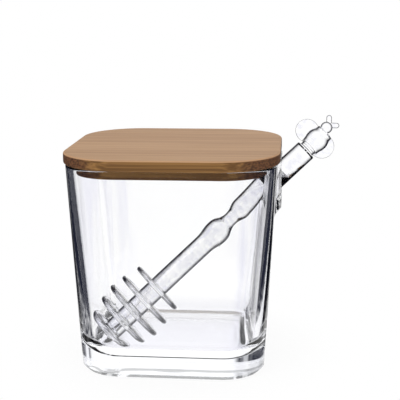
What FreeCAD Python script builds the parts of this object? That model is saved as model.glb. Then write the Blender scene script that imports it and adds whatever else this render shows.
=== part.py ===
import FreeCAD, Part
import math
import os
import Sketcher

# Square honey pot: a pressed-glass jar with a notched lip, a bamboo lid that plugs
# into its rim, and a glass dipper with a small bee that leans out through the notch.
# Units are millimetres.  The origin is the middle of the jar's base, +Z is up, the
# notch is on the +X wall and the front of the pot faces -Y.

SIZES = {
    # jar, outside
    "rim_width": 97.5,
    "rim_corner_radius": 25.0,
    "rim_height": 98.0,
    "wall_lean": 5.45,
    "foot_bevel": 1.8,
    # jar, inside
    "rim_wall": 3.0,
    "floor_wall": 5.6,
    "floor_thickness": 7.4,
    "floor_round": 11.5,
    "rim_round": 1.0,
    # notch and the lip around it
    "notch_play": 2.2,
    "notch_shift": 3.5,
    "lip_reach": 1.6,
    "lip_band": 2.4,
    "lip_depth": 8.0,
    "lip_angle": 50.0,
    "lip_blend": 4.0,
    # lid
    "lid_overhang": 1.25,
    "lid_corner_ease": 3.3,
    "lid_thickness": 5.2,
    "lid_edge_round": 1.0,
    "plug_depth": 4.4,
    "plug_clearance": 1.8,
    "plug_edge_round": 0.6,
    # dipper: gaps are between the middles of discs, lengths run up from the lowest disc
    "shaft_radius": 4.8,
    "tip_length": 3.4,
    "tip_radius": 4.2,
    "disc_rim": 2.3,
    "disc_hub": 3.6,
    "disc_a_radius": 12.6,
    "disc_b_radius": 14.9,
    "disc_c_radius": 15.8,
    "disc_d_radius": 15.0,
    "disc_e_radius": 13.4,
    "disc_b_gap": 7.5,
    "disc_c_gap": 6.7,
    "disc_d_gap": 7.1,
    "disc_e_gap": 8.1,
    "rod_length": 59.0,
    "bulge_rise": 9.5,
    "bulge_radius": 6.0,
    "bulge_fall": 9.0,
    "neck_radius": 3.5,
    "neck_rise": 8.0,
    "grip_radius": 5.3,
    "grip_past_lid": 16.15,
    "shoulder_length": 0.6,
    "collar_length": 1.9,
    "collar_radius": 4.0,
    # bee on the end of the dipper
    "bee_tail_radius": 4.8,
    "bee_tail_length": 5.2,
    "bee_waist_radius": 5.6,
    "bee_chest_length": 5.1,
    "bee_neck_radius": 4.4,
    "stripe_depth": 0.3,
    "stripe_width": 1.0,
    "head_radius": 2.9,
    "head_gap": 2.4,
    "head_shift": 1.2,
    "wing_thickness": 1.5,
    "upper_wing_radius": 5.7,
    "upper_wing_reach": 6.5,
    "lower_wing_radius": 6.1,
    "lower_wing_reach": 3.7,
    "wing_station": 5.0,
    "wing_setback": 1.0,
    "feeler_radius": 1.3,
    "feeler_length": 3.7,
    "feeler_spread": 45.0,
    "feeler_root": 1.7,
    # how the dipper stands in the jar
    "foot_side_gap": 0.9,
    "dipper_roll": -22.0,
    "dipper_clearance": 0.1,
    "rod_headroom": 2.8,
}

DISCS = "abcde"
ROD_RUNS = (
    "rod_length", "bulge_rise", "bulge_fall", "neck_rise", "grip_length", "shoulder_length",
    "collar_length",
)
BEE_RUNS = ("bee_tail_length", "bee_chest_length")
STRIPE_SHARES = (0.28, 0.52, 0.76)
POSE_ROUNDS = 30
OUTLINE_STEPS = 90


def along(runs):
    """Write how far up the dipper the end of some runs lies, as an expression."""
    return " + ".join(["0"] + [f"Sizes.{run}" for run in runs])


def disc_runs(letter):
    """List the gaps between the lowest disc and another one."""
    return [f"disc_{step}_gap" for step in DISCS[1:DISCS.index(letter) + 1]]


def make_sheet(doc, cells):
    """Put every driving dimension in the spreadsheet, one named cell each."""
    sheet = doc.addObject("Spreadsheet::Sheet", "Sizes")
    for row, (name, value) in enumerate(cells.items(), start=1):
        sheet.set(f"A{row}", name)
        sheet.set(f"B{row}", str(value))
        sheet.setAlias(f"B{row}", name)
    doc.recompute()


def make_body(doc, label):
    """Start a sub-part: a PartDesign body whose label names its file."""
    body = doc.addObject("PartDesign::Body", label.capitalize())
    body.Label = label
    return body


def origin_plane(body, role):
    """Return one of the body's own origin planes."""
    return next(item for item in body.Origin.OriginFeatures if item.Role == role)


def attach(feature, body, role, offsets):
    """Fix a feature to an origin plane, moved along the plane's own axes.

    offsets maps "x", "y" or "z" in the plane's frame to an expression.
    """
    feature.AttachmentSupport = [(origin_plane(body, role), "")]
    feature.MapMode = "FlatFace"
    for axis, expression in offsets.items():
        feature.setExpression(f".AttachmentOffset.Base.{axis}", expression)


def sketch_on(body, name, role, offsets):
    """Start a sketch on an origin plane, moved as attach() says."""
    sketch = body.newObject("Sketcher::SketchObject", name)
    attach(sketch, body, role, offsets)
    return sketch


def bind(sketch, name, constraint, expression):
    """Add a driving constraint and tie it to the sheet."""
    index = sketch.addConstraint(constraint)
    sketch.renameConstraint(index, name)
    sketch.setExpression(f"Constraints.{name}", expression)


def rounded_square(sketch, width, radius):
    """Draw a square with round corners about the sketch's origin.

    width and radius are expressions.
    """
    side, turn = 20.0, 5.0
    flat = side - turn
    corners = ((flat, flat, 0), (-flat, flat, 90), (-flat, -flat, 180), (flat, -flat, 270))
    arcs = []
    for x, y, start in corners:
        circle = Part.Circle(FreeCAD.Vector(x, y, 0), FreeCAD.Vector(0, 0, 1), turn)
        arc = Part.ArcOfCircle(circle, math.radians(start), math.radians(start + 90))
        arcs.append(sketch.addGeometry(arc, False))
    sides = []
    for first, second in zip(arcs, arcs[1:] + arcs[:1]):
        begin = sketch.getPoint(first, 2)
        end = sketch.getPoint(second, 1)
        line = sketch.addGeometry(Part.LineSegment(begin, end), False)
        sketch.addConstraint(Sketcher.Constraint("Tangent", first, 2, line, 1))
        sketch.addConstraint(Sketcher.Constraint("Tangent", line, 2, second, 1))
        sides.append(line)
    for arc in arcs[1:]:
        sketch.addConstraint(Sketcher.Constraint("Equal", arcs[0], arc))
    top, left, bottom, right = sides
    sketch.addConstraint(Sketcher.Constraint("Horizontal", top))
    sketch.addConstraint(Sketcher.Constraint("Horizontal", bottom))
    sketch.addConstraint(Sketcher.Constraint("Vertical", left))
    sketch.addConstraint(Sketcher.Constraint("Vertical", right))
    sketch.addConstraint(Sketcher.Constraint("Symmetric", arcs[0], 3, arcs[2], 3, -1, 1))
    bind(sketch, "radius", Sketcher.Constraint("Radius", arcs[0], turn), radius)
    across = Sketcher.Constraint("DistanceX", left, 1, right, 1, 2 * side)
    bind(sketch, "across", across, width)
    upright = Sketcher.Constraint("DistanceY", bottom, 1, top, 1, 2 * side)
    bind(sketch, "upright", upright, width)


def arch(sketch, radius, centre, top):
    """Draw a U: a half circle below centre, with straight sides up to top.

    The U stands on the sketch's vertical axis; radius, centre and top are expressions.
    """
    turn, middle, high = 5.0, 40.0, 60.0
    circle = Part.Circle(FreeCAD.Vector(0, middle, 0), FreeCAD.Vector(0, 0, 1), turn)
    bowl = sketch.addGeometry(Part.ArcOfCircle(circle, math.pi, 2 * math.pi), False)
    corners = ((turn, middle), (turn, high), (-turn, high), (-turn, middle))
    points = [FreeCAD.Vector(x, y, 0) for x, y in corners]
    right, over, left = (
        sketch.addGeometry(Part.LineSegment(begin, end), False)
        for begin, end in zip(points, points[1:])
    )
    sketch.addConstraint(Sketcher.Constraint("Tangent", bowl, 2, right, 1))
    sketch.addConstraint(Sketcher.Constraint("Coincident", right, 2, over, 1))
    sketch.addConstraint(Sketcher.Constraint("Coincident", over, 2, left, 1))
    sketch.addConstraint(Sketcher.Constraint("Tangent", left, 2, bowl, 1))
    sketch.addConstraint(Sketcher.Constraint("Vertical", right))
    sketch.addConstraint(Sketcher.Constraint("Vertical", left))
    sketch.addConstraint(Sketcher.Constraint("Horizontal", over))
    sketch.addConstraint(Sketcher.Constraint("PointOnObject", bowl, 3, -2))
    bind(sketch, "radius", Sketcher.Constraint("Radius", bowl, turn), radius)
    bind(sketch, "centre", Sketcher.Constraint("DistanceY", -1, 1, bowl, 3, middle), centre)
    bind(sketch, "top", Sketcher.Constraint("DistanceY", -1, 1, over, 1, high), top)


def pad(body, name, sketch, length, into_solid=False):
    """Pad a sketch by a length, or against its plane's normal."""
    feature = body.newObject("PartDesign::Pad", name)
    feature.Profile = sketch
    feature.Reversed = into_solid
    feature.setExpression("Length", length)
    return feature


def middle(edge):
    """Return the point halfway along an edge's parameter."""
    first, last = edge.ParameterRange
    return edge.valueAt((first + last) / 2)


def dress(body, kind, name, size_name, expression, test):
    """Fillet or chamfer the edges of the body's last feature whose middle passes the test."""
    body.Document.recompute()
    base = body.Tip
    edges = [
        f"Edge{number}"
        for number, edge in enumerate(base.Shape.Edges, start=1)
        if test(middle(edge))
    ]
    feature = body.newObject(f"PartDesign::{kind}", name)
    feature.Base = (base, edges)
    feature.setExpression(size_name, expression)


def draft(body, name, angle, neutral, reverse, test):
    """Slope the faces of the body's last feature that pass the test.

    neutral is the plane where the faces keep their place: an origin plane's role, or a
    test that finds one face.
    """
    body.Document.recompute()
    base = body.Tip
    faces = [
        f"Face{number}"
        for number, face in enumerate(base.Shape.Faces, start=1)
        if test(face.BoundBox)
    ]
    feature = body.newObject("PartDesign::Draft", name)
    feature.Base = (base, faces)
    if isinstance(neutral, str):
        feature.NeutralPlane = (origin_plane(body, neutral), [""])
    else:
        number = next(n for n, face in enumerate(base.Shape.Faces, 1) if neutral(face.BoundBox))
        feature.NeutralPlane = (base, [f"Face{number}"])
    feature.Reversed = reverse
    feature.setExpression("Angle", angle)


def near(value, target):
    """Tell whether two lengths agree to a hundredth of a millimetre."""
    return abs(value - target) < 0.01


class PotShape:
    """Places on the jar that its cuts, its fillets, the lid and the dipper all use.

    The notch's height and the grip's length are settled once the dipper's lean is known.
    """

    def __init__(self, size):
        self.top = size["rim_height"]
        self.floor = size["floor_thickness"]
        self.outer_half = size["rim_width"] / 2
        self.slope = size["wall_lean"] / self.top
        self.mouth_half = self.outer_half - size["rim_wall"]
        self.mouth_corner = size["rim_corner_radius"] - size["rim_wall"]
        self.floor_half = self.outside(self.floor) - size["floor_wall"]
        self.lip_face = self.outer_half + size["lip_reach"]
        self.notch_radius = size["grip_radius"] + size["notch_play"]
        self.notch_shift = size["notch_shift"]
        self.lid_half = self.outer_half + size["lid_overhang"]
        self.floor_round = size["floor_round"]
        self.grip_length = 0.0
        self.sink_notch(self.top)

    def sink_notch(self, centre):
        """Set the height of the middle of the notch's round end."""
        self.notch_centre = centre
        self.notch_bottom = centre - self.notch_radius

    def outside(self, height):
        """Return how far the outer face of a wall stands from the middle at a height."""
        return self.outer_half - self.slope * (self.top - height)

    def inside(self, height):
        """Return how far the inner face of a wall stands from the middle at a height."""
        share = (height - self.floor) / (self.top - self.floor)
        return self.floor_half + share * (self.mouth_half - self.floor_half)

    def front(self, across, height, margin):
        """Return how far forward something may reach that keeps a margin from the walls.

        The corners and the round at the foot of the walls count too.
        """
        short = max(self.floor + self.floor_round - height, 0)
        foot_round = self.floor_round - math.sqrt(self.floor_round**2 - short**2)
        half = self.inside(height) - foot_round - margin
        flat = self.mouth_half - self.mouth_corner
        past = max(abs(across) - flat, 0)
        return flat + math.sqrt((half - flat) ** 2 - past**2)

    def fitted(self):
        """List the sizes that follow from how the dipper leans, for the sheet."""
        return {"notch_depth": self.top - self.notch_bottom, "grip_length": self.grip_length}

    def on_notch(self, point):
        """Tell whether a point lies on the surface that the notch cuts."""
        across = point.y - self.notch_shift
        if point.z > self.notch_centre:
            return near(abs(across), self.notch_radius)
        return near(math.hypot(across, point.z - self.notch_centre), self.notch_radius)


def make_jar(doc, shape):
    """Build the jar: tapered walls, a thick floor, and the notch with its lip."""
    body = make_body(doc, "jar")
    foot = sketch_on(body, "FootOutline", "XY_Plane", {})
    foot_width = "Sizes.rim_width - 2 * Sizes.wall_lean"
    rounded_square(foot, foot_width, "Sizes.rim_corner_radius - Sizes.wall_lean")
    pad(body, "Block", foot, "Sizes.rim_height")
    outer_angle = "atan(Sizes.wall_lean / Sizes.rim_height)"
    draft(body, "OutsideTaper", outer_angle, "XY_Plane", True, lambda box: box.ZLength > 1)

    notch_radius = "(Sizes.grip_radius + Sizes.notch_play)"
    notch_centre = f"Sizes.rim_height - Sizes.notch_depth + {notch_radius}"
    lip_place = {"x": "Sizes.notch_shift", "z": "Sizes.rim_width / 2 + Sizes.lip_reach"}
    lip = sketch_on(body, "LipFace", "YZ_Plane", lip_place)
    arch(lip, f"{notch_radius} + Sizes.lip_band", notch_centre, "Sizes.rim_height")
    pad(body, "LipBlock", lip, "Sizes.lip_depth", into_solid=True)
    draft(
        body, "LipFlare", "Sizes.lip_angle",
        lambda box: near(box.XMin, shape.lip_face), False,
        lambda box: near(box.XMax, shape.lip_face) and box.XLength > 0.5 and box.ZMin < shape.top - 1,
    )
    dress(
        body, "Fillet", "LipBlend", "Radius", "Sizes.lip_blend",
        lambda point: near(point.x, shape.outside(point.z))
        and abs(point.y) < shape.outer_half - SIZES["rim_corner_radius"] - 0.5
        and 1 < point.z < shape.top - 1,
    )

    depth = "(Sizes.rim_height - Sizes.floor_thickness)"
    lean = f"Sizes.wall_lean / Sizes.rim_height * {depth}"
    narrowing = f"({lean} + Sizes.floor_wall - Sizes.rim_wall)"
    hollow = sketch_on(body, "HollowOutline", "XY_Plane", {"z": "Sizes.rim_height"})
    hollow_width = f"Sizes.rim_width - 2 * Sizes.rim_wall - 2 * {narrowing}"
    hollow_corner = f"Sizes.rim_corner_radius - Sizes.rim_wall - {narrowing}"
    rounded_square(hollow, hollow_width, hollow_corner)
    inside = body.newObject("PartDesign::Pocket", "Inside")
    inside.Profile = hollow
    inside.setExpression("Length", depth)
    draft(
        body, "InsideTaper", f"atan({narrowing} / {depth})",
        lambda box: near(box.ZMin, shape.floor) and box.ZLength < 0.1, False,
        lambda box: near(box.ZMin, shape.floor) and box.ZLength > 1,
    )

    notch = sketch_on(body, "NotchOutline", "YZ_Plane", {"x": "Sizes.notch_shift"})
    arch(notch, notch_radius, notch_centre, "Sizes.rim_height + Sizes.lid_thickness")
    cut = body.newObject("PartDesign::Pocket", "Notch")
    cut.Profile = notch
    cut.Type = "ThroughAll"
    cut.Reversed = True

    dress(
        body, "Fillet", "FloorRound", "Radius", "Sizes.floor_round",
        lambda point: near(point.z, shape.floor),
    )
    dress(
        body, "Chamfer", "FootBevel", "Size", "Sizes.foot_bevel",
        lambda point: near(point.z, 0),
    )
    dress(
        body, "Fillet", "RimRound", "Radius", "Sizes.rim_round",
        lambda point: near(point.z, shape.top)
        or near(point.x, shape.lip_face)
        or (shape.on_notch(point) and near(point.x, shape.inside(point.z))),
    )
    return body


def make_lid(doc, shape):
    """Build the lid: a flat board with a plug below that drops into the jar's mouth."""
    body = make_body(doc, "lid")
    board = sketch_on(body, "BoardOutline", "XY_Plane", {"z": "Sizes.rim_height"})
    board_width = "Sizes.rim_width + 2 * Sizes.lid_overhang"
    rounded_square(board, board_width, "Sizes.rim_corner_radius + Sizes.lid_corner_ease")
    pad(body, "Board", board, "Sizes.lid_thickness")
    plug = sketch_on(body, "PlugOutline", "XY_Plane", {"z": "Sizes.rim_height"})
    plug_width = "Sizes.rim_width - 2 * Sizes.rim_wall - 2 * Sizes.plug_clearance"
    plug_corner = "Sizes.rim_corner_radius - Sizes.rim_wall - Sizes.plug_clearance"
    rounded_square(plug, plug_width, plug_corner)
    pad(body, "Plug", plug, "Sizes.plug_depth", into_solid=True)
    board_top = shape.top + SIZES["lid_thickness"]
    plug_half = shape.mouth_half - SIZES["plug_clearance"]
    dress(
        body, "Fillet", "BoardRound", "Radius", "Sizes.lid_edge_round",
        lambda point: near(point.z, board_top)
        or (near(point.z, shape.top) and max(abs(point.x), abs(point.y)) > plug_half + 0.1),
    )
    dress(
        body, "Fillet", "PlugRound", "Radius", "Sizes.plug_edge_round",
        lambda point: near(point.z, shape.top - SIZES["plug_depth"]),
    )
    return body


def revolve(body, name, sketch):
    """Turn a half profile all the way round its sketch's vertical axis."""
    feature = body.newObject("PartDesign::Revolution", name)
    feature.Profile = sketch
    feature.ReferenceAxis = (sketch, ["V_Axis"])
    feature.Angle = 360


def place_vertex(sketch, name, geometry, end, radius, station):
    """Tie one corner of a half profile to its radius and its station, both expressions."""
    point = sketch.getPoint(geometry, end)
    across = Sketcher.Constraint("DistanceX", -1, 1, geometry, end, point.x)
    bind(sketch, f"{name}_radius", across, radius)
    along = Sketcher.Constraint("DistanceY", -1, 1, geometry, end, point.y)
    bind(sketch, f"{name}_station", along, station)


def ease_curve(begin, end):
    """Make a curve that leaves and arrives parallel to the vertical axis."""
    half = FreeCAD.Vector(0, (end.y - begin.y) / 2, 0)
    curve = Part.BezierCurve()
    curve.setPoles([begin, begin + half, end - half, end])
    return curve.toBSpline()


def turned_profile(sketch, corners):
    """Draw a closed half profile from the axis, up through its corners and back.

    Each corner is a name, the cell of its radius, the runs below it, and "line" or
    "ease", which says how the profile comes to it.
    """
    cells = sketch.Document.Sizes
    points = [
        FreeCAD.Vector(cells.get(radius), sum(cells.get(run) for run in runs), 0)
        for _, radius, runs, _ in corners
    ]
    foot = FreeCAD.Vector(0, points[0].y, 0)
    head = FreeCAD.Vector(0, points[-1].y, 0)
    parts = [sketch.addGeometry(Part.LineSegment(foot, points[0]), False)]
    for begin, end, corner in zip(points, points[1:], corners[1:]):
        way = ease_curve(begin, end) if corner[3] == "ease" else Part.LineSegment(begin, end)
        parts.append(sketch.addGeometry(way, False))
    parts.append(sketch.addGeometry(Part.LineSegment(points[-1], head), False))
    axis = sketch.addGeometry(Part.LineSegment(head, foot), False)
    for first, second in zip(parts, parts[1:]):
        sketch.addConstraint(Sketcher.Constraint("Coincident", first, 2, second, 1))
    sketch.addConstraint(Sketcher.Constraint("Coincident", parts[-1], 2, axis, 1))
    sketch.addConstraint(Sketcher.Constraint("Coincident", axis, 2, parts[0], 1))
    sketch.addConstraint(Sketcher.Constraint("PointOnObject", axis, 1, -2))
    sketch.addConstraint(Sketcher.Constraint("PointOnObject", axis, 2, -2))
    sketch.addConstraint(Sketcher.Constraint("Horizontal", parts[0]))
    sketch.addConstraint(Sketcher.Constraint("Horizontal", parts[-1]))
    for part, (name, radius, runs, _) in zip(parts, corners):
        place_vertex(sketch, name, part, 2, f"Sizes.{radius}", along(runs))


def lens(body, name, role, offsets, radius, rim, hub):
    """Add a round disc, rim thick at its rounded edge and hub thick on its axis.

    The disc's axis is the sketch's vertical axis; radius, rim and hub are expressions.
    """
    sketch = sketch_on(body, f"{name}Profile", role, offsets)
    turn, reach, thick = 1.0, 10.0, 3.0
    circle = Part.Circle(FreeCAD.Vector(reach, 0, 0), FreeCAD.Vector(0, 0, 1), turn)
    edge = sketch.addGeometry(Part.ArcOfCircle(circle, -math.pi / 2, math.pi / 2), False)
    corners = ((reach, turn), (0, thick / 2), (0, -thick / 2), (reach, -turn))
    points = [FreeCAD.Vector(x, y, 0) for x, y in corners]
    above, axis, below = (
        sketch.addGeometry(Part.LineSegment(begin, end), False)
        for begin, end in zip(points, points[1:])
    )
    sketch.addConstraint(Sketcher.Constraint("Coincident", edge, 2, above, 1))
    sketch.addConstraint(Sketcher.Constraint("Coincident", above, 2, axis, 1))
    sketch.addConstraint(Sketcher.Constraint("Coincident", axis, 2, below, 1))
    sketch.addConstraint(Sketcher.Constraint("Coincident", below, 2, edge, 1))
    sketch.addConstraint(Sketcher.Constraint("PointOnObject", edge, 3, -1))
    sketch.addConstraint(Sketcher.Constraint("Vertical", edge, 1, edge, 2))
    sketch.addConstraint(Sketcher.Constraint("PointOnObject", axis, 1, -2))
    sketch.addConstraint(Sketcher.Constraint("PointOnObject", axis, 2, -2))
    middle_of_edge = Sketcher.Constraint("DistanceX", -1, 1, edge, 3, reach)
    bind(sketch, "reach", middle_of_edge, f"{radius} - {rim} / 2")
    bind(sketch, "turn", Sketcher.Constraint("Radius", edge, turn), f"{rim} / 2")
    upper = Sketcher.Constraint("DistanceY", -1, 1, axis, 1, thick / 2)
    bind(sketch, "upper", upper, f"{hub} / 2")
    lower = Sketcher.Constraint("DistanceY", axis, 2, -1, 1, thick / 2)
    bind(sketch, "lower", lower, f"{hub} / 2")
    revolve(body, name, sketch)


def primitive(body, kind, name, offsets, sizes):
    """Add a PartDesign primitive on the body's XY plane, with its sizes tied to the sheet."""
    feature = body.newObject(f"PartDesign::{kind}", name)
    attach(feature, body, "XY_Plane", offsets)
    for size, expression in sizes.items():
        feature.setExpression(size, expression)
    return feature


def make_dipper_rod(body):
    """Add the rod with its tip, its bulge and neck, and the discs that hold honey."""
    rod = sketch_on(body, "RodProfile", "XZ_Plane", {})
    turned_profile(rod, (
        ("foot", "shaft_radius", (), "line"),
        ("swell", "shaft_radius", ROD_RUNS[:1], "line"),
        ("bulge", "bulge_radius", ROD_RUNS[:2], "ease"),
        ("neck", "neck_radius", ROD_RUNS[:3], "ease"),
        ("grip", "grip_radius", ROD_RUNS[:4], "ease"),
        ("shoulder", "grip_radius", ROD_RUNS[:5], "line"),
        ("collar", "collar_radius", ROD_RUNS[:6], "line"),
        ("crown", "collar_radius", ROD_RUNS, "line"),
    ))
    revolve(body, "Rod", rod)
    tip = {"Radius1": "Sizes.tip_length", "Radius2": "Sizes.tip_radius", "Radius3": "Sizes.tip_radius"}
    primitive(body, "AdditiveEllipsoid", "Tip", {}, tip)
    for letter in DISCS:
        lens(
            body, f"Disc{letter.upper()}", "XZ_Plane", {"y": along(disc_runs(letter))},
            f"Sizes.disc_{letter}_radius", "Sizes.disc_rim", "Sizes.disc_hub",
        )


def make_bee(body):
    """Add the bee: striped body, head, two flat wings and two short feelers."""
    bee = sketch_on(body, "BeeProfile", "XZ_Plane", {})
    turned_profile(bee, (
        ("tail", "bee_tail_radius", ROD_RUNS, "line"),
        ("waist", "bee_waist_radius", ROD_RUNS + BEE_RUNS[:1], "ease"),
        ("neck", "bee_neck_radius", ROD_RUNS + BEE_RUNS, "ease"),
    ))
    revolve(body, "BeeBody", bee)
    tail = along(ROD_RUNS)
    neck = along(ROD_RUNS + BEE_RUNS)
    groove_ring = "Sizes.bee_waist_radius + Sizes.stripe_width / 2 - Sizes.stripe_depth"
    for number, share in enumerate(STRIPE_SHARES, start=1):
        station = f"{tail} + {share} * (Sizes.bee_tail_length + Sizes.bee_chest_length)"
        ring = {"Radius1": groove_ring, "Radius2": "Sizes.stripe_width / 2"}
        primitive(body, "SubtractiveTorus", f"Stripe{number}", {"z": station}, ring)

    wings = (("UpperWing", 1, "upper_wing"), ("LowerWing", -1, "lower_wing"))
    for name, side, cells in wings:
        place = {
            "x": f"{side} * Sizes.{cells}_reach",
            "y": "-Sizes.wing_setback",
            "z": f"{tail} + Sizes.wing_station",
        }
        thickness = "Sizes.wing_thickness"
        lens(body, name, "XY_Plane", place, f"Sizes.{cells}_radius", thickness, thickness)

    head_place = {"x": "Sizes.head_shift", "z": f"{neck} + Sizes.head_gap"}
    primitive(body, "AdditiveSphere", "Head", head_place, {"Radius": "Sizes.head_radius"})
    root = f"{neck} + Sizes.head_gap + Sizes.feeler_root"
    for name, side in (("UpperFeeler", 1), ("LowerFeeler", -1)):
        stem = primitive(
            body, "AdditiveCylinder", name, {"x": "Sizes.head_shift", "z": root},
            {"Radius": "Sizes.feeler_radius", "Height": "Sizes.feeler_length"},
        )
        lean = FreeCAD.Rotation(FreeCAD.Vector(0, 1, 0), side * SIZES["feeler_spread"])
        stem.AttachmentOffset = FreeCAD.Placement(stem.AttachmentOffset.Base, lean)
        spread = "Sizes.feeler_spread * 1 deg"
        tip_place = {
            "x": f"Sizes.head_shift + {side} * Sizes.feeler_length * sin({spread})",
            "z": f"{root} + Sizes.feeler_length * cos({spread})",
        }
        primitive(body, "AdditiveSphere", f"{name}Tip", tip_place, {"Radius": "Sizes.feeler_radius"})


def spokes(axis, length, sweep):
    """List vectors of one length square to an axis, turned from level down and round."""
    level = FreeCAD.Vector(0, 0, 1).cross(axis).normalize()
    upright = axis.cross(level)
    turns = (sweep * step / OUTLINE_STEPS for step in range(OUTLINE_STEPS + 1))
    return [level * (length * math.cos(turn)) - upright * (length * math.sin(turn)) for turn in turns]


def notch_lift(shape, axis, rod, across):
    """Return how high above the notch's centre a leaning rod's axis crosses its inner edge.

    axis is the rod's direction, rod its radius with the gap, and across how far to the
    side of the notch's middle it crosses.
    """
    lifts = []
    for spoke in spokes(axis, rod, math.pi):
        touch = spoke - axis * (spoke.x / axis.x)
        side = across + touch.y
        if abs(side) < shape.notch_radius:
            lifts.append(-math.sqrt(shape.notch_radius**2 - side**2) - touch.z)
    return max(lifts)


def dipper_foot(shape, axis, gap):
    """Return where the middle of the lowest disc stands when the discs meet the jar.

    Every disc keeps the gap from the floor and the front wall, and foot_side_gap from
    the left wall; the disc that comes nearest settles each.
    """
    half_rim = SIZES["disc_rim"] / 2
    edge = half_rim + gap
    side_gap = SIZES["foot_side_gap"] + half_rim
    discs = [
        (SIZES[f"disc_{letter}_radius"] - half_rim, sum(SIZES[gap] for gap in disc_runs(letter)))
        for letter in DISCS
    ]
    height = max(
        shape.floor + disc * math.hypot(axis.x, axis.y) + edge - station * axis.z
        for disc, station in discs
    )
    foot = FreeCAD.Vector(0, 0, height)
    foot.x = max(
        disc * math.hypot(axis.y, axis.z) + side_gap - station * axis.x
        - shape.inside(height + station * axis.z)
        for disc, station in discs
    )
    limits = []
    for disc, station in discs:
        middle_of_disc = foot + axis * station
        room = min(
            shape.front(middle_of_disc.x + spoke.x, middle_of_disc.z + spoke.z, edge) + spoke.y
            for spoke in spokes(axis, disc, 2 * math.pi)
        )
        limits.append(-room - station * axis.y)
    foot.y = max(limits)
    return foot


def dipper_pose(shape):
    """Work out how the dipper stands, and fit the notch and the grip to it.

    The discs meet the floor and the front wall, the rod passes rod_headroom under the
    lid's edge, the notch is as deep as the rod needs to lie on its inner edge, and the
    grip ends grip_past_lid beyond the lid.  Returns the placement of the middle of the
    lowest disc.
    """
    gap = SIZES["dipper_clearance"]
    axis = FreeCAD.Vector(1, 0, 1).normalize()
    for _ in range(POSE_ROUNDS):
        foot = dipper_foot(shape, axis, gap)
        notch_x = shape.inside(shape.notch_bottom)
        across = (notch_x - shape.lip_face) / 2 * axis.y / axis.x
        half_height = SIZES["grip_radius"] / math.hypot(axis.x, axis.y)
        at_lid = shape.top - SIZES["rod_headroom"] - half_height
        height = at_lid - (shape.lid_half - notch_x) * axis.z / axis.x
        lift = notch_lift(shape, axis, SIZES["grip_radius"] + gap, across)
        shape.sink_notch(height - lift)
        crossing = FreeCAD.Vector(notch_x, shape.notch_shift + across, height)
        axis = (crossing - foot).normalize()
    below_grip = sum(SIZES[run] for run in ROD_RUNS[:4])
    shape.grip_length = (shape.lid_half - foot.x) / axis.x + SIZES["grip_past_lid"] - below_grip
    upright = FreeCAD.Vector(0, 0, 1) - axis * axis.z
    lean = FreeCAD.Rotation(upright, axis.cross(upright), axis, "ZXY")
    roll = FreeCAD.Rotation(FreeCAD.Vector(0, 0, 1), SIZES["dipper_roll"])
    return FreeCAD.Placement(foot, lean.multiply(roll))


def make_dipper(doc, pose):
    """Build the one-piece glass dipper upright, then lean it in the jar."""
    body = make_body(doc, "dipper")
    make_dipper_rod(body)
    make_bee(body)
    body.Placement = pose
    return body


def check(doc, bodies):
    """Stop when an object failed or a sub-part is empty or invalid."""
    for item in doc.Objects:
        if "Invalid" in item.State or "Error" in item.State:
            raise RuntimeError(f"{item.Name} failed: {item.State}")
    for body in bodies:
        if body.Shape.isNull() or not body.Shape.isValid():
            raise RuntimeError(f"{body.Label} has no valid shape")


def main():
    """Build the document, check it and write one STEP file for each sub-part."""
    doc = FreeCAD.newDocument("HoneyPot")
    shape = PotShape(SIZES)
    pose = dipper_pose(shape)
    make_sheet(doc, {**SIZES, **shape.fitted()})
    bodies = [make_jar(doc, shape), make_lid(doc, shape), make_dipper(doc, pose)]
    doc.recompute()
    check(doc, bodies)
    os.makedirs("parts", exist_ok=True)
    for body in bodies:
        body.Shape.exportStep(os.path.join("parts", f"{body.Label}.step"))
        box = body.Shape.BoundBox
        print(body.Label, round(body.Shape.Volume), [round(v, 1) for v in (
            box.XMin, box.XMax, box.YMin, box.YMax, box.ZMin, box.ZMax)])


if __name__ == "__main__":
    main()
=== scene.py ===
import logging
import math
from dataclasses import dataclass
from enum import Enum
from typing import Any

import bmesh
import bpy
from mathutils import Matrix, Vector


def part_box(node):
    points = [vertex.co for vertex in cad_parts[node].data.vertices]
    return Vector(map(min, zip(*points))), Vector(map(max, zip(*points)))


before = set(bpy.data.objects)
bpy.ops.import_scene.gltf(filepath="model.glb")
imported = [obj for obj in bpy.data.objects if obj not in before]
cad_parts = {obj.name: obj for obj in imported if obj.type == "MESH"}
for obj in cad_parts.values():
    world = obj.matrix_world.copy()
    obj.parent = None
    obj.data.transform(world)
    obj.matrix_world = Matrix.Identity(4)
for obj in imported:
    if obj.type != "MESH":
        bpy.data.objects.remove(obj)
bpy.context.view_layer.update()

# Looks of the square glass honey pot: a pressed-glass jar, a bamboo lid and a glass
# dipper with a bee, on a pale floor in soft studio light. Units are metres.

LOG = logging.getLogger("honey_pot")

Colour = tuple[float, float, float, float]
Triple = tuple[float, float, float]
Span = tuple[float, float]
WHITE: Colour = (1.0, 1.0, 1.0, 1.0)
SRGB_KNEE, SRGB_SLOPE, SRGB_OFFSET, SRGB_POWER = 0.04045, 12.92, 0.055, 2.4


class Node(Enum):
    """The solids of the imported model."""

    JAR = "jar"
    LID = "lid"
    DIPPER = "dipper"


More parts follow.
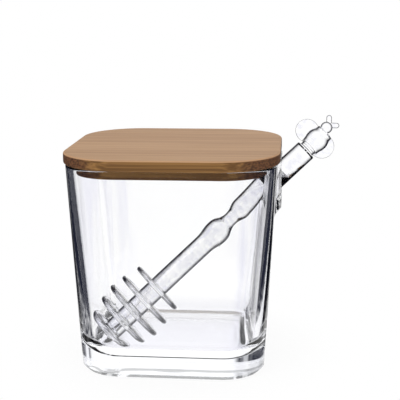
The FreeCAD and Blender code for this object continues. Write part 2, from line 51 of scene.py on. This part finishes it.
class Signal:
    """One output of a shader node, which Python operators combine into Math nodes."""

    def __init__(self, tree: "NodeTree", socket: bpy.types.NodeSocket) -> None:
        """Wrap a socket.

        Args:
            tree: the node tree that the socket belongs to.
            socket: an output socket.
        """
        self.tree = tree
        self.socket = socket

    def math(self, operation: str, *others: "Signal | float", first: bool = True) -> "Signal":
        """Add a Math node.

        Args:
            operation: the Math node's operation.
            others: what else the node takes.
            first: whether this signal is the first input or the last.

        Returns:
            The node's output.
        """
        values = [self, *others] if first else [*others, self]
        node = self.tree.node("ShaderNodeMath", {"operation": operation}, dict(enumerate(values)))
        return Signal(self.tree, node.outputs[0])

    def __add__(self, other: "Signal | float") -> "Signal":
        """Add."""
        return self.math("ADD", other)

    def __sub__(self, other: "Signal | float") -> "Signal":
        """Subtract."""
        return self.math("SUBTRACT", other)

    def __rsub__(self, other: float) -> "Signal":
        """Subtract this signal from a number."""
        return self.math("SUBTRACT", other, first=False)

    def __mul__(self, other: "Signal | float") -> "Signal":
        """Multiply."""
        return self.math("MULTIPLY", other)

    def __truediv__(self, other: "Signal | float") -> "Signal":
        """Divide."""
        return self.math("DIVIDE", other)

    def __abs__(self) -> "Signal":
        """Take the absolute value."""
        return self.math("ABSOLUTE")

    def least(self, other: "Signal | float") -> "Signal":
        """Take the smaller of two values."""
        return self.math("MINIMUM", other)

    def peak(self, other: "Signal | float") -> "Signal":
        """Take the larger of two values."""
        return self.math("MAXIMUM", other)

    def ramp(self, low: float, high: float) -> "Signal":
        """Rise smoothly from 0 at low to 1 at high."""
        node = self.tree.node(
            "ShaderNodeMapRange", {"interpolation_type": "SMOOTHSTEP"},
            {"Value": self, "From Min": low, "From Max": high},
        )
        return Signal(self.tree, node.outputs["Result"])


class NodeTree:
    """A shader node tree with one method that adds any node."""

    def __init__(self, tree: bpy.types.NodeTree) -> None:
        """Empty the tree.

        Args:
            tree: the tree of a material or a world.
        """
        self.tree = tree
        tree.nodes.clear()

    def node(self, kind: str, settings: dict[str, Any], inputs: dict[Any, Any]) -> bpy.types.Node:
        """Add a node.

        Args:
            kind: the node's type.
            settings: its properties, set before its sockets.
            inputs: values, signals or sockets for its sockets, by name or number.

        Returns:
            The node.
        """
        node = self.tree.nodes.new(kind)
        for name, value in settings.items():
            setattr(node, name, value)
        for name, value in inputs.items():
            if isinstance(value, Signal):
                value = value.socket
            if isinstance(value, bpy.types.NodeSocket):
                self.tree.links.new(value, node.inputs[name])
            else:
                node.inputs[name].default_value = value
        return node

    def signal(self, kind: str, settings: dict[str, Any], inputs: dict[Any, Any], output: Any = 0) -> Signal:
        """Add a node and wrap one of its outputs."""
        return Signal(self, self.node(kind, settings, inputs).outputs[output])

    def vector(self, operation: str, *values: Any) -> Signal:
        """Add a Vector Math node and wrap its vector."""
        return self.signal("ShaderNodeVectorMath", {"operation": operation}, dict(enumerate(values)))

    def measure(self, operation: str, *values: Any) -> Signal:
        """Add a Vector Math node and wrap the number it gives."""
        return self.signal("ShaderNodeVectorMath", {"operation": operation}, dict(enumerate(values)), "Value")

    def axes(self, vector: Signal) -> tuple[Signal, Signal, Signal]:
        """Split a vector into its three parts."""
        node = self.node("ShaderNodeSeparateXYZ", {}, {0: vector})
        return tuple(Signal(self, output) for output in node.outputs)

    def mix(self, factor: Any, first: Any, second: Any) -> Signal:
        """Mix two colours."""
        settings = {"data_type": "RGBA", "clamp_factor": True}
        return self.signal("ShaderNodeMix", settings, {0: factor, 6: first, 7: second}, 2)

    def noise(self, place: Signal, scale: float, detail: float = 2.0, roughness: float = 0.5) -> Signal:
        """Add a Noise Texture and wrap its value."""
        inputs = {"Vector": place, "Scale": scale, "Detail": detail, "Roughness": roughness}
        return self.signal("ShaderNodeTexNoise", {}, inputs)

    def object_place(self) -> Signal:
        """Return the place on the piece, in metres."""
        return self.signal("ShaderNodeTexCoord", {}, {}, "Object")

    def object_normal(self) -> Signal:
        """Return the way the surface points, one long."""
        return self.signal("ShaderNodeTexCoord", {}, {}, "Normal")

    def turned_away(self, normal: Signal | None = None) -> Signal:
        """Measure how far the surface, or the normal given, turns away: 0 square on, 1 edge-on."""
        chosen = {} if normal is None else {"Normal": normal}
        return self.signal("ShaderNodeLayerWeight", {}, {"Blend": 0.5, **chosen}, "Facing")

    def bump(self, height: Signal, strength: float, distance: float) -> Signal:
        """Turn a height into a normal."""
        inputs = {"Height": height, "Strength": strength, "Distance": distance}
        return self.signal("ShaderNodeBump", {}, inputs)


def from_srgb(red: int, green: int, blue: int) -> Colour:
    """Turn a screen colour, 0 to 255 each, into a linear one."""
    def linear(value: int) -> float:
        share = value / 255
        if share <= SRGB_KNEE:
            return share / SRGB_SLOPE
        return ((share + SRGB_OFFSET) / (1 + SRGB_OFFSET)) ** SRGB_POWER

    return (linear(red), linear(green), linear(blue), 1.0)


def new_material(name: str) -> tuple[bpy.types.Material, NodeTree]:
    """Add an empty material and give it with its node tree."""
    material = bpy.data.materials.new(name)
    material.use_nodes = True
    return material, NodeTree(material.node_tree)


@dataclass(frozen=True)
class ClearGlass:
    """Clear glass: faintly wavy, softly patched with grey, and painted dark where it turns away, as edge
    shade.

    The jar's and the dipper's glass each say where they are patched, painted dark or clear; the jar's grey
    patches are painted shade.
    A span is where something rises from nothing to its full share.
    """

    name: str
    # edge shade colour: painted shade on the edges where the glass turns away
    edge_shade_colour: Colour
    edge_shade_rise: Span
    edge_shade_depth: float
    mottle_and_shade_colour: Colour
    mottle_and_shade_scale: float
    mottle_and_shade_stretch: float
    mottle_and_shade_rise: Span = (0.40, 0.65)
    ior: float = 1.5
    wave_scale: float = 55.0
    wave_detail: float = 1.0
    wave_height: float = 0.00004
    patch_scale: float = 165.0
    patch_detail: float = 3.0
    patch_rise: Span = (0.45, 0.75)
    most_roughness: float = 0.02
    depth_colour: Colour = (0.80, 0.84, 0.90, 1.0)
    depth_density: float = 3.0

    def build(self) -> bpy.types.Material:
        """Make the material.

        Returns:
            The finished material.
        """
        material, tree = new_material(self.name)
        place = tree.object_place()
        waves = tree.noise(place, self.wave_scale, self.wave_detail)
        patches = tree.noise(place, self.patch_scale, self.patch_detail)
        glass = tree.node("ShaderNodeBsdfPrincipled", {}, {
            # base colour: painted dark edge shade over the grey-patched tint
            "Base Color": tree.mix(self.edges(tree) * self.edge_shade_depth, self.tint(tree), self.edge_shade_colour),
            "Roughness": patches.ramp(*self.patch_rise) * self.most_roughness,
            "IOR": self.ior,
            "Transmission Weight": 1.0,
            "Normal": tree.bump(waves, 1.0, self.wave_height),
        })
        depth = tree.node("ShaderNodeVolumeAbsorption", {}, {
            "Color": self.depth_colour, "Density": self.depth_density,
        })
        surface = self.surface(tree, glass)
        tree.node("ShaderNodeOutputMaterial", {}, {"Surface": surface.outputs[0], "Volume": depth.outputs[0]})
        return material

    def edges(self, tree: NodeTree) -> Signal:
        """Find where the glass turns away and is painted dark as edge shade, from 0 to 1."""
        return tree.turned_away().ramp(*self.edge_shade_rise)

    def mottle_and_shade(self, tree: NodeTree) -> Signal:
        """Spread soft grey patches, drawn out upwards where the stretch is small; on the jar they are painted
        shade streaks, on the dipper a fine mottle.
        """
        upright = tree.vector("MULTIPLY", tree.object_place(), (1.0, 1.0, self.mottle_and_shade_stretch))
        return tree.noise(upright, self.mottle_and_shade_scale).ramp(*self.mottle_and_shade_rise)

    def tint(self, tree: NodeTree) -> Signal:
        """Colour the glass away from its painted dark edges, with grey patches."""
        return tree.mix(self.mottle_and_shade(tree), WHITE, self.mottle_and_shade_colour)

    def surface(self, tree: NodeTree, glass: bpy.types.Node) -> bpy.types.Node:
        """Finish the surface; plain glass is kept as it is."""
        return glass


@dataclass(frozen=True)
class JarGlass(ClearGlass):
    """The jar's pressed glass, with painted shade streaks in its corners and painted shade round its inner
    floor.

    The bevel, the lip and the rounding at the back of the inner floor let part of the
    light straight through, as it would otherwise be caught in them and lost.
    """

    name: str = "jar_glass"
    # painted shade: dark edges and grey streaks in the corners
    edge_shade_colour: Colour = from_srgb(38, 40, 56)
    edge_shade_rise: Span = (0.88, 1.0)
    edge_shade_depth: float = 0.5
    mottle_and_shade_colour: Colour = from_srgb(241, 241, 248)
    mottle_and_shade_scale: float = 130.0
    mottle_and_shade_stretch: float = 0.12
    corner: Span = (0.024, 0.034)
    rounding_foot: Span = (0.0063, 0.0070)
    rounding_top: Span = (0.007, 0.020)
    rounding_outside: Span = (0.034, 0.040)
    # painted shade that greys the rounding round the inner floor
    rounding_shade_colour: Colour = from_srgb(212, 212, 226)
    rounding_shade_share: float = 0.8
    rounding_back: Span = (0.010, 0.025)
    rounding_clear: float = 0.4
    bevel_foot: Span = (0.00005, 0.00010)
    bevel_top: Span = (0.0019, 0.0024)
    bevel_clear: float = 0.6
    lip_outside: Span = (0.0487, 0.0495)
    lip_clear: float = 0.6

    def mottle_and_shade(self, tree: NodeTree) -> Signal:
        """Keep the painted shade streaks to the corners."""
        across, along, _ = tree.axes(tree.object_place())
        return super().mottle_and_shade(tree) * abs(across).least(abs(along)).ramp(*self.corner)

    def rounding(self, tree: NodeTree) -> Signal:
        """Find the rounding between the inner floor and the walls."""
        across, along, up = tree.axes(tree.object_place())
        inside = 1.0 - abs(across).peak(abs(along)).ramp(*self.rounding_outside)
        return up.ramp(*self.rounding_foot) * (1.0 - up.ramp(*self.rounding_top)) * inside

    def tint(self, tree: NodeTree) -> Signal:
        """Paint a little shade on the rounding."""
        return tree.mix(self.rounding(tree) * self.rounding_shade_share, super().tint(tree), self.rounding_shade_colour)

    def surface(self, tree: NodeTree, glass: bpy.types.Node) -> bpy.types.Node:
        """Let part of the light through at the bevel, the lip and the back rounding.

        Args:
            tree: the material's node tree.
            glass: the glass shader.

        Returns:
            The glass mixed with plain clearness.
        """
        across, along, up = tree.axes(tree.object_place())
        bevel = up.ramp(*self.bevel_foot) * (1.0 - up.ramp(*self.bevel_top)) * self.bevel_clear
        lip = across.ramp(*self.lip_outside) * self.lip_clear
        back = self.rounding(tree) * along.ramp(*self.rounding_back) * self.rounding_clear
        through = tree.node("ShaderNodeBsdfTransparent", {}, {})
        return tree.node("ShaderNodeMixShader", {}, {
            0: bevel.peak(lip).peak(back), 1: glass.outputs[0], 2: through.outputs[0],
        })


@dataclass(frozen=True)
class DipperGlass(ClearGlass):
    """The dipper's solid glass, finely mottled and painted dark all along its outline as edge shade.

    How far it turns away is measured across its long axis, so the rod isn't dark all
    over when it is seen end-on. Faces square to that axis stay clear below flat_below:
    they are the flat sides of the discs.
    """

    name: str = "dipper_glass"
    # painted shade on the outline, nearly black
    edge_shade_colour: Colour = from_srgb(4, 4, 7)
    edge_shade_rise: Span = (0.16, 0.50)
    edge_shade_depth: float = 1.0
    mottle_and_shade_colour: Colour = from_srgb(238, 238, 244)
    mottle_and_shade_scale: float = 420.0
    mottle_and_shade_stretch: float = 1.0
    long_axis: Triple = (0.0, 0.0, 1.0)
    least_across: float = 0.05
    flat: Span = (0.45, 0.80)
    flat_below: Span = (0.055, 0.060)

    def edges(self, tree: NodeTree) -> Signal:
        """Paint shade on the round outline, and leave the discs' flat sides clear."""
        axis = tree.vector("NORMALIZE", self.long_axis)
        end_on = 1.0 - tree.turned_away(axis)
        across = (1.0 - end_on * end_on).peak(self.least_across).math("SQRT")
        turned = 1.0 - (1.0 - tree.turned_away()) / across
        square = abs(tree.measure("DOT_PRODUCT", tree.object_normal(), axis))
        _, _, up = tree.axes(tree.object_place())
        flat = square.ramp(*self.flat) * (1.0 - up.ramp(*self.flat_below))
        return turned.ramp(*self.edge_shade_rise) * (1.0 - flat)


@dataclass(frozen=True)
class Bamboo:
    """Sanded bamboo board with its grain along X: pale on top from a painted sheen, browner at its sides from
    painted shade.

    The fibres run through the board, so its ends show them as dots. A span is where
    something rises from nothing to its full share.
    """

    name: str = "bamboo_board"
    # top colours: the bamboo lightened by a painted sheen
    pale: Colour = from_srgb(188, 147, 106)
    mid: Colour = from_srgb(172, 131, 91)
    line: Colour = from_srgb(128, 88, 50)
    # side colours: the bamboo darkened by painted shade
    shaded_side_pale: Colour = from_srgb(156, 112, 54)
    shaded_side_mid: Colour = from_srgb(112, 74, 24)
    shaded_side_line: Colour = from_srgb(88, 48, 18)
    end: Colour = from_srgb(112, 68, 36)
    dot: Colour = from_srgb(52, 22, 10)
    # painted highlight on the rounded arris between top and sides
    arris_highlight: Colour = from_srgb(196, 152, 112)
    strip_width: float = 0.0075
    strip_share: float = 0.10
    streak_scale: float = 420.0
    streak_rise: Span = (0.30, 0.70)
    band_scale: float = 700.0
    band_rise: Span = (0.38, 0.66)
    fibre_scale: float = 1500.0
    fibre_detail: float = 3.0
    fibre_coarseness: float = 0.6
    fibre_stretch: float = 0.012
    fibre_rise: Span = (0.50, 0.72)
    top_fibres: float = 0.45
    side_fibres: float = 0.5
    dot_rise: Span = (0.44, 0.56)
    end_turn: Span = (0.25, 0.65)
    end_share: float = 0.85
    sheen_top_turn: Span = (0.35, 0.75)
    arris_highlight_start: Span = (0.25, 0.60)
    arris_highlight_end: Span = (0.85, 0.97)
    arris_highlight_share: float = 0.7
    roughness: float = 0.5
    fibre_roughness: float = 0.2
    relief_height: float = 0.00006
    relief_strength: float = 0.6
    fibre_relief: float = 0.6

    def build(self) -> bpy.types.Material:
        """Make the material.

        Returns:
            The finished material.
        """
        material, tree = new_material(self.name)
        grain = tree.vector("MULTIPLY", tree.object_place(), (self.fibre_stretch, 1.0, 1.0))
        fibres = tree.noise(grain, self.fibre_scale, self.fibre_detail, self.fibre_coarseness)
        streaks = tree.noise(grain, self.streak_scale)
        facing_x, _, facing_up = tree.axes(tree.object_normal())
        ends = tree.mix(fibres.ramp(*self.dot_rise), self.end, self.dot)
        end_share = abs(facing_x).ramp(*self.end_turn) * self.end_share
        edge = tree.mix(end_share, self.side(tree, grain, fibres), ends)
        # painted sheen on top, painted shade on the sides, switched by which way the surface faces
        colour = tree.mix(facing_up.ramp(*self.sheen_top_turn), edge, self.top(tree, streaks, fibres))
        # mask of the painted highlight along the rounded arris
        arris_highlight = facing_up.ramp(*self.arris_highlight_start) * (1.0 - facing_up.ramp(*self.arris_highlight_end))
        relief = fibres * self.fibre_relief + streaks * (1.0 - self.fibre_relief)
        shader = tree.node("ShaderNodeBsdfPrincipled", {}, {
            "Base Color": tree.mix(arris_highlight * self.arris_highlight_share, colour, self.arris_highlight),
            "Roughness": fibres * self.fibre_roughness + self.roughness,
            "Normal": tree.bump(relief, self.relief_strength, self.relief_height),
        })
        tree.node("ShaderNodeOutputMaterial", {}, {"Surface": shader.outputs[0]})
        return material

    def top(self, tree: NodeTree, streaks: Signal, fibres: Signal) -> Signal:
        """Colour the top, lightened by a painted sheen: pale streaks, fine fibres and glued strips of
        slightly different tone.
        """
        _, across, _ = tree.axes(tree.object_place())
        strip = (across / self.strip_width).math("FLOOR")
        strip_tone = tree.signal("ShaderNodeTexWhiteNoise", {"noise_dimensions": "1D"}, {"W": strip})
        colour = tree.mix(streaks.ramp(*self.streak_rise), self.mid, self.pale)
        colour = tree.mix(fibres.ramp(*self.fibre_rise) * self.top_fibres, colour, self.line)
        return tree.mix(strip_tone * self.strip_share, colour, self.line)

    def side(self, tree: NodeTree, grain: Signal, fibres: Signal) -> Signal:
        """Colour the long sides, darkened by painted shade: browner bands with fine fibres."""
        bands = tree.noise(grain, self.band_scale).ramp(*self.band_rise)
        colour = tree.mix(bands, self.shaded_side_mid, self.shaded_side_pale)
        return tree.mix(fibres.ramp(*self.fibre_rise) * self.side_fibres, colour, self.shaded_side_line)


@dataclass(frozen=True)
class StudioLight:
    """What a ray meets when it leaves the pot.

    The studio is white straight on. Rays that were reflected once, inside the glass or
    on it, meet its dark front and sides: the sides are darkest beside the white, grey
    further round, and broken by one light strip on the right. Rays reflected more
    often meet less of the dark. Spans are parts of a direction one long.
    """

    tree: NodeTree
    dark_colour: Colour = from_srgb(36, 39, 54)
    grey_share: float = 0.55
    again_share: float = 0.55
    dark_side: Span = (0.21, 0.30)
    grey_side: Span = (0.22, 0.32)
    far_side: Span = (0.42, 0.54)
    strip_side: Span = (0.33, 0.40)
    strip_edge: float = 0.03
    overhead: Span = (0.45, 0.80)
    overhead_share: float = 0.35
    front: Span = (0.2, 0.5)
    streak_scale: Triple = (16.0, 16.0, 1.5)
    streak_rise: Span = (0.30, 0.70)
    through_level: float = 1.16

    def ray(self, kind: str) -> Signal:
        """Read something about the ray from the Light Path node."""
        return self.tree.signal("ShaderNodeLightPath", {}, {}, kind)

    def reflected(self) -> Signal:
        """Tell how much of the dark a ray meets: all after one reflection, less after more."""
        turns = self.ray("Glossy Depth")
        return turns.least(1.0) - (turns - 1.0).peak(0.0).least(1.0) * self.again_share

    def colour(self, direction: Signal) -> Signal:
        """Give the colour of the studio in a direction.

        Args:
            direction: where the ray goes, as a vector one long.

        Returns:
            White for rays that went straight through, slate for those reflected sideways.
        """
        across, back, up = self.tree.axes(direction)
        stretched = self.tree.vector("MULTIPLY", direction, self.streak_scale)
        streaks = self.tree.noise(stretched, 1.0).ramp(*self.streak_rise)
        low, high = self.strip_side
        strip = across.ramp(low - self.strip_edge, low) * (1.0 - across.ramp(high, high + self.strip_edge))
        side = abs(across)
        grey = side.ramp(*self.grey_side) * (1.0 - side.ramp(*self.far_side))
        share = side.ramp(*self.dark_side) - grey * streaks * self.grey_share
        share = (share * (1.0 - strip)).peak(up.ramp(*self.overhead) * self.overhead_share)
        dark = self.reflected() * share.peak((0.0 - back).ramp(*self.front))
        bright = (self.through_level, self.through_level, self.through_level, 1.0)
        white = self.tree.mix(self.ray("Is Camera Ray"), bright, WHITE)
        return self.tree.mix(dark, white, self.dark_colour)


@dataclass(frozen=True)
class PaleFloor:
    """Matt white floor that fades into the white background but keeps the shadow."""

    name: str = "pale_floor"
    colour: Colour = (0.94, 0.94, 0.95, 1.0)
    near_glow: float = 0.93
    fade: Span = (0.045, 0.085)
    reach: float = 0.20

    def build(self) -> bpy.types.Material:
        """Make the material.

        Returns:
            The finished material.
        """
        material, tree = new_material(self.name)
        light = StudioLight(tree)
        place = tree.object_place()
        distance = tree.measure("LENGTH", place)
        direction = tree.vector("DIVIDE", place, distance.peak(self.reach))
        far_share = distance.ramp(*self.fade).peak(1.0 - light.ray("Is Camera Ray"))
        glow_share = far_share * (1.0 - self.near_glow) + self.near_glow
        matt = tree.node("ShaderNodeBsdfDiffuse", {}, {"Color": self.colour})
        glow = tree.node("ShaderNodeEmission", {}, {"Color": light.colour(direction)})
        mixed = tree.node("ShaderNodeMixShader", {}, {
            0: (1.0 - light.ray("Is Diffuse Ray")) * glow_share, 1: matt.outputs[0], 2: glow.outputs[0],
        })
        tree.node("ShaderNodeOutputMaterial", {}, {"Surface": mixed.outputs[0]})
        return material


@dataclass
class Piece:
    """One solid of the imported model, shown as it is in its own finish."""

    node: Node
    finish: ClearGlass | Bamboo

    def dress(self) -> None:
        """Put the finish in the solid's material slots and report it."""
        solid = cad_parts[self.node.value]
        material = self.finish.build()
        for slot in solid.material_slots:
            slot.material = material
        LOG.info("%s: %d faces in %s", self.node.value, len(solid.data.polygons), material.name)


class Jar(Piece):
    """The pressed-glass jar with its notched lip."""

    def __init__(self) -> None:
        """Choose the jar's glass."""
        super().__init__(Node.JAR, JarGlass())


class Lid(Piece):
    """The bamboo lid: a board and the plug below it."""

    def __init__(self) -> None:
        """Choose the lid's bamboo, with its grain along the board."""
        super().__init__(Node.LID, Bamboo())


class Dipper(Piece):
    """The glass dipper: discs, rod and bee in one, solid glass with painted dark edges."""

    def __init__(self) -> None:
        """Choose the dipper's glass."""
        super().__init__(Node.DIPPER, DipperGlass(long_axis=tuple(self.lean())))

    def lean(self, rounds: int = 6) -> Vector:
        """Find the direction of the rod, starting from a slant up to the right.

        Args:
            rounds: how often the direction is refined.

        Returns:
            The direction in which the dipper's points spread furthest, one long.
        """
        points = [vertex.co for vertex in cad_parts[Node.DIPPER.value].data.vertices]
        middle = sum(points, Vector()) / len(points)
        spread = [point - middle for point in points]
        axis = Vector((1.0, 0.0, 1.0))
        for _ in range(rounds):
            axis = sum((offset * offset.dot(axis) for offset in spread), Vector()).normalized()
        return axis


@dataclass
class Studio:
    """Floor, background, lamp and camera."""

    floor_half: float = 1.5
    floor_gap: float = 0.0001
    world_level: float = 0.85
    key_energy: float = 3.0
    key_size: float = 0.5
    key_place: Triple = (-0.5, -0.6, 0.9)
    key_aim: Triple = (0.0, 0.0, 0.05)
    camera_azimuth: float = math.radians(5.4)
    camera_elevation: float = math.radians(12.26)
    camera_roll: float = math.radians(-0.32)
    camera_distance: float = 0.48576
    camera_lens: float = 89.97
    camera_sensor: float = 36.0
    camera_near: float = 0.01
    aim_right: float = 0.01094
    aim_height: float = 0.07514

    def build(self) -> None:
        """Make everything around the pot."""
        self.make_floor()
        self.make_world()
        self.make_lamp()
        self.make_camera()

    def make_floor(self) -> None:
        """Lay the floor under the pot."""
        mesh = bpy.data.meshes.new("floor")
        shape = bmesh.new()
        bmesh.ops.create_grid(shape, x_segments=1, y_segments=1, size=self.floor_half)
        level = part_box(Node.JAR.value)[0].z - self.floor_gap
        bmesh.ops.translate(shape, verts=shape.verts, vec=(0, 0, level))
        shape.to_mesh(mesh)
        shape.free()
        floor = bpy.data.objects.new("floor", mesh)
        bpy.context.scene.collection.objects.link(floor)
        mesh.materials.append(PaleFloor().build())

    def make_world(self) -> None:
        """Make the white surroundings, with the dark parts that only reflected rays meet."""
        world = bpy.data.worlds.new("studio")
        bpy.context.scene.world = world
        world.use_nodes = True
        tree = NodeTree(world.node_tree)
        light = StudioLight(tree)
        direction = tree.signal("ShaderNodeTexCoord", {}, {}, "Generated")
        level = self.world_level
        colour = tree.mix(light.ray("Is Diffuse Ray"), light.colour(direction), (level, level, level, 1.0))
        background = tree.node("ShaderNodeBackground", {}, {"Color": colour})
        tree.node("ShaderNodeOutputWorld", {}, {"Surface": background.outputs[0]})

    def make_lamp(self) -> None:
        """Hang the soft square key lamp high on the left, facing the pot."""
        lamp = bpy.data.lights.new("key", "AREA")
        lamp.energy = self.key_energy
        lamp.size = self.key_size
        piece = bpy.data.objects.new("key", lamp)
        place = Vector(self.key_place)
        facing = (Vector(self.key_aim) - place).to_track_quat("-Z", "Y").to_matrix().to_4x4()
        piece.matrix_world = Matrix.Translation(place) @ facing
        bpy.context.scene.collection.objects.link(piece)

    def make_camera(self) -> None:
        """Place the camera in front of the pot, a little to the right and above."""
        turn, lift = self.camera_azimuth, self.camera_elevation
        aim = Vector((math.cos(turn), math.sin(turn), 0)) * self.aim_right
        aim.z = self.aim_height
        back = Vector((math.sin(turn) * math.cos(lift), -math.cos(turn) * math.cos(lift), math.sin(lift)))
        camera = bpy.data.cameras.new("camera")
        camera.lens = self.camera_lens
        camera.sensor_width = self.camera_sensor
        camera.clip_start = self.camera_near
        piece = bpy.data.objects.new("camera", camera)
        facing = (-back).to_track_quat("-Z", "Y").to_matrix().to_4x4()
        place = Matrix.Translation(aim + back * self.camera_distance)
        piece.matrix_world = place @ facing @ Matrix.Rotation(self.camera_roll, 4, "Z")
        bpy.context.scene.collection.objects.link(piece)
        bpy.context.scene.camera = piece
        bpy.context.scene.view_settings.view_transform = "Standard"


def main() -> None:
    """Build the pot's looks piece by piece."""
    logging.basicConfig(level=logging.INFO, format="%(name)s: %(message)s")
    for piece in (Jar(), Lid(), Dipper()):
        piece.dress()
    Studio().build()


if __name__ == "__main__":
    main()
